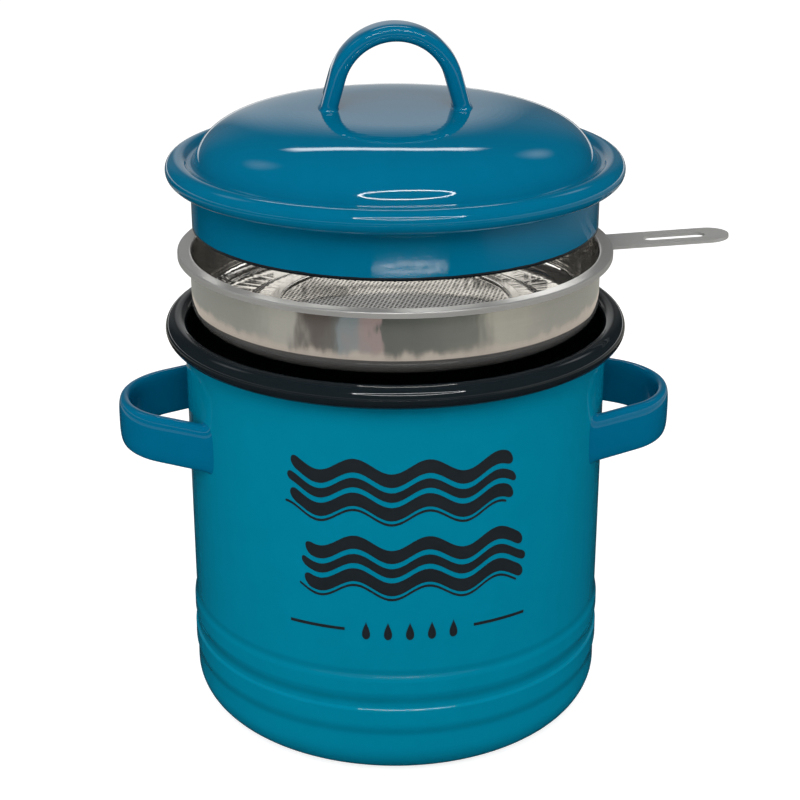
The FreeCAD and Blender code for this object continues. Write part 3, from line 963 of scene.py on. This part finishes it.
def collar_material(name, blue, black, settings):
    """Blue enamel with a thin black line at the collar's lower edge."""
    material, tree, shader = new_material(name)
    line_top = (collar_bottom + 0.7) * MM
    split = tree.nodes.new("ShaderNodeSeparateXYZ")
    tree.links.new(object_point(tree), split.inputs[0])
    ragged = noise(tree, object_point(tree), 160, 2.0)
    edge = maths(tree, "MULTIPLY_ADD", ragged, 0.0004, line_top - 0.0002)
    is_blue = maths(tree, "GREATER_THAN", split.outputs[2], edge)
    mix = tree.nodes.new("ShaderNodeMix")
    mix.data_type = "RGBA"
    tree.links.new(is_blue, mix.inputs["Factor"])
    colours = [socket for socket in mix.inputs if socket.type == "RGBA"]
    colours[0].default_value = (*black, 1)
    colours[1].default_value = (*blue, 1)
    mixed = [socket for socket in mix.outputs if socket.type == "RGBA"][0]
    skin = group_node(
        tree, "fired_enamel", Colour=mixed, Mottle=blue_mottle, Swell=settings.swell,
        Grain=settings.grain, Roughness=settings.roughness,
    )
    connect_skin(tree, shader, skin)
    shader.inputs["IOR"].default_value = enamel_ior
    return material


def turned_steel_material(name, colour, metallic, roughness, dent_height, dents_around, dents_across):
    """Sheet with turning lines round the axis and soft upright dents."""
    material, tree, shader = new_material(name)
    lines = group_node(tree, "round_the_axis", Around=3.0, Across=5200.0)
    dents = group_node(tree, "round_the_axis", Around=dents_around, Across=dents_across)
    skin = group_node(
        tree, "drawn_steel", Colour=(*colour, 1), Lines=lines.outputs[0], Dents=dents.outputs[0],
        Line_height=0.0000003, Dent_height=dent_height, Roughness=roughness,
    )
    connect_skin(tree, shader, skin)
    shader.inputs["Metallic"].default_value = metallic
    return material


def strip_steel_material(name, colour):
    """Satin strip brushed along its length."""
    material, tree, shader = new_material(name)
    stretch = tree.nodes.new("ShaderNodeVectorMath")
    stretch.operation = "MULTIPLY"
    stretch.inputs[1].default_value = (90, 6000, 6000)
    tree.links.new(object_point(tree), stretch.inputs[0])
    skin = group_node(
        tree, "drawn_steel", Colour=(*colour, 1), Lines=stretch.outputs[0],
        Dents=object_point(tree), Line_height=0.0000006, Dent_height=0.000004, Roughness=0.42,
    )
    connect_skin(tree, shader, skin)
    shader.inputs["Metallic"].default_value = 0.35
    return material


def ink_material(name, colour):
    """Fired black print, a little duller than the enamel and faintly uneven."""
    material, tree, shader = new_material(name)
    skin = group_node(
        tree, "fired_enamel", Colour=(*colour, 1), Mottle=0.5, Swell=0.00001, Grain=0.000003,
        Roughness=0.22,
    )
    connect_skin(tree, shader, skin)
    shader.inputs["IOR"].default_value = ink_ior
    return material


def paint(piece, material):
    """Gives a piece its one material."""
    piece.data.materials.clear()
    piece.data.materials.append(material)
    return piece


def material_of(name):
    return bpy.data.materials[name]


def finish_bowl(pan):
    """Gives the pan's inside and its flange finishes of their own."""
    for name in ("pan_bowl_steel", "pan_flange_steel"):
        pan.data.materials.append(material_of(name))
    flange_start = (pan_wall_radius - pan_sheet + pan_lip / 2) * MM
    flange_low = (pan_top - hem_drop - 0.1) * MM
    for face in pan.data.polygons:
        x, y, z = face.center
        away = math.hypot(x, y)
        outwards = (face.normal.x * x + face.normal.y * y) / away
        if z > flange_low and away > flange_start:
            face.material_index = 2
        elif face.normal.z > 0.3 or (outwards < -0.3 and away > step_radius * MM):
            face.material_index = 1


class KEEPER_OT_finishes(bpy.types.Operator):
    """Make the shader groups and every material"""

    bl_idname = "keeper.finishes"
    bl_label = "Make finishes"

    def execute(self, context):
        enamel = context.scene.keeper_enamel
        steel = context.scene.keeper_steel
        make_enamel_group()
        make_round_group()
        make_steel_group()
        # Painted shade: the pot's enamel is darkened in bands at the wall's creases
        enamel_material("pot_fired", enamel.blue, blue_mottle, enamel, painted_crease_shade)
        # Painted shade: the lid's and collar's enamel take the pot's blue darkened
        enamel_material("lid_fired_shaded", enamel.lid_shaded_blue, blue_mottle, enamel)
        # Painted shade: the handles' enamel takes the pot's blue darkened
        enamel_material("handle_fired_shaded", enamel.handle_shaded_blue, blue_mottle, enamel)
        enamel_material("black_fired", enamel.black, black_mottle, enamel)
        collar_material("collar_fired", enamel.lid_shaded_blue, enamel.black, enamel)
        turned_steel_material("pan_wall_steel", steel.bright, 0.88, 0.04, 0.00007, 9.0, 26.0)
        turned_steel_material("pan_bowl_steel", steel.bright, 0.9, 0.06, 0.00009, 20.0, 46.0)
        turned_steel_material("pan_flange_steel", steel.satin, 0.5, 0.34, 0.000004, 4.0, 60.0)
        turned_steel_material("disc_steel", steel.bright, 0.95, 0.07, 0.00002, 4.0, 60.0)
        strip_steel_material("strip_steel", steel.satin)
        ink_material("print_ink", context.scene.keeper_print.ink)
        return {"FINISHED"}


class KEEPER_OT_pot(bpy.types.Operator):
    """Turn the pot's body and its black lining"""

    bl_idname = "keeper.pot"
    bl_label = "Make pot"

    def execute(self, context):
        segments = context.scene.keeper_stage.segments
        body = turned_piece(
            "pot_body_enamel", [(pot_body_outline(), segments)], "pot", "pot_body"
        )
        paint(body, material_of("pot_fired"))
        lining = turned_piece(
            "pot_lining_enamel", [(pot_lining_outline(), segments)], "pot", "pot_lining"
        )
        paint(lining, material_of("black_fired"))
        return {"FINISHED"}


class KEEPER_OT_handles(bpy.types.Operator):
    """Bend and enamel the three welded handles"""

    bl_idname = "keeper.handles"
    bl_label = "Make handles"

    def execute(self, context):
        for handle in (side_handle(1, "right"), side_handle(-1, "left"), arched_handle()):
            paint(handle, material_of("handle_fired_shaded"))
        return {"FINISHED"}


class KEEPER_OT_print(bpy.types.Operator):
    """Lay the printed ornament on the front of the pot"""

    bl_idname = "keeper.print"
    bl_label = "Make print"

    def execute(self, context):
        settings = context.scene.keeper_print
        paint(printed_ornament(settings.width, settings.thickness), material_of("print_ink"))
        return {"FINISHED"}


class KEEPER_OT_strainer(bpy.types.Operator):
    """Turn the strainer pan and its ring, perforate its disc and finish its strip"""

    bl_idname = "keeper.strainer"
    bl_label = "Make strainer"

    def execute(self, context):
        segments = context.scene.keeper_stage.segments
        steel = context.scene.keeper_steel
        gap = math.degrees(math.asin(hem_gap_half / flange_radius))
        outlines = [(pan_outline(), segments), (hem_outline(), segments, gap, 360 - gap)]
        pan = turned_piece("strainer_pan_steel", outlines, "strainer", "strainer_pan")
        paint(pan, material_of("pan_wall_steel"))
        finish_bowl(pan)
        ring = turned_piece(
            "mesh_ring_steel", [(ring_outline(), segments)], "strainer", "mesh_ring"
        )
        paint(ring, material_of("disc_steel"))
        disc = perforated_disc(steel.hole_pitch, steel.hole_radius, "strainer")
        paint(disc, material_of("disc_steel"))
        paint(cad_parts["strainer_handle"], material_of("strip_steel"))
        return {"FINISHED"}


class KEEPER_OT_lid(bpy.types.Operator):
    """Turn the lid's shell, collar and black lining"""

    bl_idname = "keeper.lid"
    bl_label = "Make lid"

    def execute(self, context):
        segments = context.scene.keeper_stage.segments
        shell = turned_piece(
            "lid_shell_enamel", [(lid_shell_outline(), segments)], "lid", "lid_shell"
        )
        paint(shell, material_of("lid_fired_shaded"))
        collar = turned_piece(
            "lid_collar_enamel", [(lid_collar_outline(), segments)], "lid", "lid_collar"
        )
        paint(collar, material_of("collar_fired"))
        lining = turned_piece(
            "lid_lining_enamel", [(lid_lining_outline(), segments)], "lid", "lid_lining"
        )
        paint(lining, material_of("black_fired"))
        return {"FINISHED"}


def background_share(tree):
    """1 for rays that should see the white surroundings, straight or by reflection."""
    path = tree.nodes.new("ShaderNodeLightPath")
    seen = maths(tree, "MAXIMUM", path.outputs["Is Camera Ray"], path.outputs["Is Glossy Ray"])
    return maths(tree, "MAXIMUM", seen, path.outputs["Is Transmission Ray"])


def make_world(fill):
    """White surroundings that light the object only as much as the fill says."""
    world = bpy.data.worlds.new("studio")
    world.use_nodes = True
    tree = world.node_tree
    ground = tree.nodes["Background"]
    ground.inputs["Color"].default_value = (1, 1, 1, 1)
    strength = maths(tree, "MULTIPLY_ADD", background_share(tree), 1 - fill, fill)
    tree.links.new(strength, ground.inputs["Strength"])
    bpy.context.scene.world = world


def make_floor():
    """Plain pale floor that keeps the shadow."""
    mesh = bmesh.new()
    bmesh.ops.create_grid(mesh, x_segments=1, y_segments=1, size=6.0)
    data = bpy.data.meshes.new("floor")
    mesh.to_mesh(data)
    mesh.free()
    floor = bpy.data.objects.new("floor", data)
    floor.location = (0, 0, -0.0002)
    bpy.context.scene.collection.objects.link(floor)
    material, tree, shader = new_material("pale_floor")
    shader.inputs["Base Color"].default_value = (0.46, 0.46, 0.46, 1)
    shader.inputs["Roughness"].default_value = 0.9
    shader.inputs["Specular IOR Level"].default_value = 0.0
    shader.inputs["Emission Color"].default_value = (1, 1, 1, 1)
    tree.links.new(maths(tree, "MULTIPLY", background_share(tree), 0.8), shader.inputs["Emission Strength"])
    paint(floor, material)


def map_range(tree, value, low, high, start, end):
    """Smooth step from one number at low to another at high."""
    node = tree.nodes.new("ShaderNodeMapRange")
    node.interpolation_type = "SMOOTHSTEP"
    tree.links.new(value, node.inputs["Value"])
    for title, number in (("From Min", low), ("From Max", high), ("To Min", start), ("To Max", end)):
        node.inputs[title].default_value = number
    return node.outputs["Result"]


def reflected_only(name, data, location):
    """Stage piece that only shows in reflections, with its material's tree and shader."""
    plate = bpy.data.objects.new(name, data)
    plate.location = location
    for sort in ("camera", "diffuse", "shadow", "transmission", "volume_scatter"):
        setattr(plate, "visible_" + sort, False)
    bpy.context.scene.collection.objects.link(plate)
    material, tree, shader = new_material(name)
    shader.inputs["Base Color"].default_value = (0, 0, 0, 1)
    shader.inputs["Specular IOR Level"].default_value = 0.0
    shader.inputs["Roughness"].default_value = 1.0
    shader.inputs["Emission Color"].default_value = (1, 1, 1, 1)
    paint(plate, material)
    return plate, tree, shader


def ring_light(name, centre, width, height, facing, strength, band):
    """Oval ring that only shows in reflections, facing a point."""
    mesh = bmesh.new()
    steps = 64
    outer, inner = [], []
    for step in range(steps):
        angle = 2 * math.pi * step / steps
        across, up = math.cos(angle), math.sin(angle)
        outer.append(mesh.verts.new((width / 2 * across, height / 2 * up, 0)))
        inner.append(mesh.verts.new(((width / 2 - band) * across, (height / 2 - band) * up, 0)))
    for k in range(steps):
        after = (k + 1) % steps
        mesh.faces.new((outer[k], outer[after], inner[after], inner[k]))
    data = bpy.data.meshes.new(name)
    mesh.to_mesh(data)
    mesh.free()
    plate, _, shader = reflected_only(name, data, centre)
    plate.rotation_euler = (Vector(facing) - Vector(centre)).to_track_quat("Z", "Y").to_euler()
    shader.inputs["Emission Strength"].default_value = strength


def floor_light(name, middle, half_depth, turn, half_turn, band, strength):
    """Flat oval ring bent round the pot on the floor, which only shows in reflections; angles in degrees."""
    mesh = bmesh.new()
    steps = 64
    loops = []
    for inset in (0.0, band):
        loop = []
        for step in range(steps):
            angle = 2 * math.pi * step / steps
            away = middle + (half_depth - inset) * math.sin(angle)
            side = math.radians(turn + half_turn * (1 - inset / middle) * math.cos(angle))
            loop.append(mesh.verts.new((away * math.sin(side), -away * math.cos(side), 0)))
        loops.append(loop)
    for k in range(steps):
        after = (k + 1) % steps
        mesh.faces.new((loops[0][k], loops[0][after], loops[1][after], loops[1][k]))
    data = bpy.data.meshes.new(name)
    mesh.to_mesh(data)
    mesh.free()
    _, _, shader = reflected_only(name, data, (0, 0, 0.0003))
    shader.inputs["Emission Strength"].default_value = strength


def level_reach(tree, x, y):
    """Length of a step given by its two parts."""
    squares = maths(tree, "ADD", maths(tree, "MULTIPLY", x, x), maths(tree, "MULTIPLY", y, y))
    return maths(tree, "SQRT", squares)


def directions(tree):
    """Azimuth from straight back, turning right, and elevation, both in degrees."""
    split = tree.nodes.new("ShaderNodeSeparateXYZ")
    tree.links.new(object_point(tree), split.inputs[0])
    x, y, z = split.outputs
    azimuth = maths(tree, "DEGREES", maths(tree, "ARCTAN2", x, y))
    elevation = maths(tree, "ARCTAN2", z, level_reach(tree, x, y))
    return azimuth, maths(tree, "DEGREES", elevation)


def colour_ramp(tree, value, stops):
    """Colour for a number from 0 to 1, eased between (place, colour) stops."""
    node = tree.nodes.new("ShaderNodeValToRGB")
    node.color_ramp.interpolation = "EASE"
    marks = node.color_ramp.elements
    for place, _ in stops[1:-1]:
        marks.new(place)
    for mark, (place, colour) in zip(marks, stops):
        mark.position = place
        mark.color = (*colour, 1)
    tree.links.new(value, node.inputs[0])
    return node.outputs["Color"]


def soft_spot(tree, azimuth, elevation, at_azimuth, at_elevation, spread, strength):
    """Soft round spot on the tent, all angles in degrees."""
    across = maths(tree, "MULTIPLY", maths(tree, "SUBTRACT", azimuth, at_azimuth), 0.75)
    up = maths(tree, "SUBTRACT", elevation, at_elevation)
    return map_range(tree, level_reach(tree, across, up), 0.0, spread, strength, 0.0)


def make_tent(radius, dark):
    """Dark tent round the pot, opened at the back to a pale ground, with one thin slit overhead."""
    mesh = bmesh.new()
    bmesh.ops.create_uvsphere(mesh, u_segments=48, v_segments=24, radius=radius)
    data = bpy.data.meshes.new("tent")
    mesh.to_mesh(data)
    mesh.free()
    _, tree, shader = reflected_only("tent", data, stage_middle)
    azimuth, elevation = directions(tree)
    aside = maths(tree, "ABSOLUTE", azimuth)
    ragged = noise(tree, object_point(tree), 1.6, 3.0)
    middle = map_range(tree, aside, 5.0, 16.0, 1.0, 0.0)
    wings = map_range(tree, aside, 18.0, 36.0, 0.2, 0.0)
    opening = maths(tree, "MAXIMUM", middle, wings)
    opening = maths(tree, "MULTIPLY", opening, map_range(tree, elevation, 13.0, 33.0, 0.55, 0.0))
    waved = maths(tree, "MULTIPLY_ADD", ragged, 3.0, maths(tree, "SUBTRACT", elevation, 46.5))
    slit = map_range(tree, maths(tree, "ABSOLUTE", waved), 1.0, 2.6, 7.0, 0.0)
    slit = maths(tree, "MULTIPLY", slit, map_range(tree, aside, 16.0, 24.0, 1.0, 0.0))
    spots = maths(
        tree, "ADD", soft_spot(tree, azimuth, elevation, -58.0, 44.0, 11.0, 1.1),
        soft_spot(tree, azimuth, elevation, 45.0, 40.0, 9.0, 1.3),
    )
    glow = maths(tree, "ADD", maths(tree, "ADD", opening, slit), maths(tree, "ADD", spots, dark))
    tree.links.new(glow, shader.inputs["Emission Strength"])


def disc_data(name, radius):
    """Flat round mesh."""
    mesh = bmesh.new()
    bmesh.ops.create_circle(mesh, cap_ends=True, segments=96, radius=radius)
    data = bpy.data.meshes.new(name)
    mesh.to_mesh(data)
    mesh.free()
    return data


def make_mat(radius, dark):
    """Floor as the pot mirrors it: dark close by, blotched further out and pale behind."""
    _, tree, shader = reflected_only("mat", disc_data("mat", radius), (0, 0, 0.0001))
    point = object_point(tree)
    split = tree.nodes.new("ShaderNodeSeparateXYZ")
    tree.links.new(point, split.inputs[0])
    x, y, _ = split.outputs
    away = level_reach(tree, x, y)
    ragged = maths(tree, "SUBTRACT", noise(tree, point, 15, 3.0, 0.65), 0.5)
    from_front = maths(tree, "DEGREES", maths(tree, "ARCTAN2", x, maths(tree, "MULTIPLY", y, -1.0)))
    turned = maths(tree, "MULTIPLY_ADD", ragged, 30.0, from_front)
    ground = colour_ramp(tree, maths(tree, "MULTIPLY_ADD", turned, 1 / 180, 0.5), (
        (0.0, (0.30, 0.31, 0.28)), (0.16, (0.46, 0.46, 0.41)), (0.24, (0.07, 0.05, 0.04)),
        (0.31, (0.10, 0.10, 0.09)), (0.335, (0.22, 0.27, 0.29)), (0.43, (0.36, 0.27, 0.26)),
        (0.445, (0.07, 0.08, 0.07)), (0.70, (0.14, 0.15, 0.13)), (0.78, (0.48, 0.47, 0.40)),
        (1.0, (0.36, 0.36, 0.32)),
    ))
    edge = maths(tree, "MULTIPLY_ADD", ragged, 0.03, away)
    warm_share = map_range(tree, edge, 0.409, 0.418, 1.0, 0.0)
    mix = tree.nodes.new("ShaderNodeMix")
    mix.data_type = "RGBA"
    tree.links.new(warm_share, mix.inputs["Factor"])
    colours = [socket for socket in mix.inputs if socket.type == "RGBA"]
    tree.links.new(ground, colours[0])
    colours[1].default_value = (0.60, 0.53, 0.46, 1)
    mixed = [socket for socket in mix.outputs if socket.type == "RGBA"][0]
    tree.links.new(mixed, shader.inputs["Emission Color"])
    ring = maths(
        tree, "MULTIPLY", map_range(tree, away, 0.385, 0.402, 0.0, 1.0),
        map_range(tree, away, 0.505, 0.53, 1.0, 0.0),
    )
    behind = map_range(tree, maths(tree, "ABSOLUTE", from_front), 140.0, 156.0, 0.0, 0.3)
    right = maths(
        tree, "MULTIPLY", map_range(tree, x, 0.25, 0.6, 0.0, 0.8),
        map_range(tree, away, 0.5, 0.6, 0.0, 1.0),
    )
    glow = maths(tree, "ADD", maths(tree, "MAXIMUM", ring, maths(tree, "MAXIMUM", behind, right)), dark)
    tree.links.new(glow, shader.inputs["Emission Strength"])


def make_strainer_bounce(height, radius):
    """Blotched plate in the lid's mouth, so that the polished bowl has something to mirror."""
    plate, tree, shader = reflected_only("bounce", disc_data("bounce", radius), (0, 0, height))
    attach(plate, "lid")
    point = object_point(tree)
    blotch = noise(tree, point, 34, 3.0, 0.55)
    glow = map_range(tree, blotch, 0.45, 0.55, 0.05, 2.4)
    geometry = tree.nodes.new("ShaderNodeNewGeometry")
    seen_below = maths(tree, "MULTIPLY", glow, geometry.outputs["Backfacing"])
    tree.links.new(seen_below, shader.inputs["Emission Strength"])
    shader.inputs["Emission Color"].default_value = (1.0, 0.99, 0.97, 1)


def lamp(name, place, size, power):
    """Soft square lamp aimed at the middle of the pot, unseen by reflections."""
    data = bpy.data.lights.new(name, "AREA")
    data.shape = "RECTANGLE"
    data.size, data.size_y = size
    data.energy = power
    light = bpy.data.objects.new(name, data)
    light.location = place
    light.rotation_euler = (Vector((0, 0, 0.1)) - Vector(place)).to_track_quat("-Z", "Y").to_euler()
    light.visible_camera = False
    light.visible_glossy = False
    bpy.context.scene.collection.objects.link(light)


def make_camera(settings):
    """Camera at the photographed angle."""
    data = bpy.data.cameras.new("camera")
    data.lens = settings.camera_lens
    data.sensor_width = 36
    data.clip_start, data.clip_end = 0.01, 20
    camera = bpy.data.objects.new("camera", data)
    azimuth = settings.camera_azimuth
    reach = settings.camera_distance
    camera.location = (reach * math.sin(azimuth), -reach * math.cos(azimuth), settings.camera_height)
    camera.rotation_euler = (math.pi / 2 - settings.camera_pitch, 0, azimuth - settings.camera_aim)
    bpy.context.scene.collection.objects.link(camera)
    bpy.context.scene.camera = camera


class KEEPER_OT_stage(bpy.types.Operator):
    """Set the floor, the lamps, the reflecting cards and the camera"""

    bl_idname = "keeper.stage"
    bl_label = "Set stage"

    def execute(self, context):
        settings = context.scene.keeper_stage
        context.scene.view_settings.view_transform = "Standard"
        make_camera(settings)
        make_world(settings.fill)
        make_floor()
        lamp("overhead_lamp", (-0.1, -0.9, 1.0), (0.7, 0.6), settings.key)
        lamp("left_lamp", (-1.1, -0.4, 0.4), (0.6, 0.6), settings.side)
        lamp("right_lamp", (1.1, -0.4, 0.4), (0.6, 0.6), settings.side)
        make_tent(tent_radius, tent_glow)
        make_mat(mat_radius, mat_glow)
        make_strainer_bounce(bounce_height, bounce_radius)
        ring_light("frame_light", frame_light_place, 0.90, 0.39, stage_middle, 30.0, 0.035)
        floor_light("collar_light", 0.551, 0.0095, 4.0, 20.0, 0.0028, 26.0)
        return {"FINISHED"}


class KEEPER_PT_panel(bpy.types.Panel):
    """Lists the steps that dress the keeper and their settings"""

    bl_idname = "KEEPER_PT_panel"
    bl_label = "Grease keeper"
    bl_space_type = "VIEW_3D"
    bl_region_type = "UI"
    bl_category = "Keeper"

    def draw(self, context):
        for operator in operators:
            self.layout.operator(operator.bl_idname)
        for name in settings_groups:
            group = getattr(context.scene, name)
            column = self.layout.column(align=True)
            for title in group.bl_rna.properties.keys():
                if title not in ("rna_type", "name"):
                    column.prop(group, title)


operators = (
    KEEPER_OT_finishes, KEEPER_OT_stage, KEEPER_OT_pot, KEEPER_OT_handles, KEEPER_OT_print,
    KEEPER_OT_strainer, KEEPER_OT_lid,
)
settings_groups = {
    "keeper_enamel": KeeperEnamel,
    "keeper_steel": KeeperSteel,
    "keeper_print": KeeperPrint,
    "keeper_stage": KeeperStage,
}


def register():
    for group in settings_groups.values():
        bpy.utils.register_class(group)
    for name, group in settings_groups.items():
        setattr(bpy.types.Scene, name, PointerProperty(type=group))
    for operator in operators:
        bpy.utils.register_class(operator)
    bpy.utils.register_class(KEEPER_PT_panel)


def unregister():
    bpy.utils.unregister_class(KEEPER_PT_panel)
    for operator in reversed(operators):
        bpy.utils.unregister_class(operator)
    for name, group in settings_groups.items():
        delattr(bpy.types.Scene, name)
        bpy.utils.unregister_class(group)


def main():
    register()
    bpy.ops.keeper.finishes()
    bpy.ops.keeper.stage()
    bpy.ops.keeper.pot()
    bpy.ops.keeper.handles()
    bpy.ops.keeper.print()
    bpy.ops.keeper.strainer()
    bpy.ops.keeper.lid()


if __name__ == "__main__":
    main()
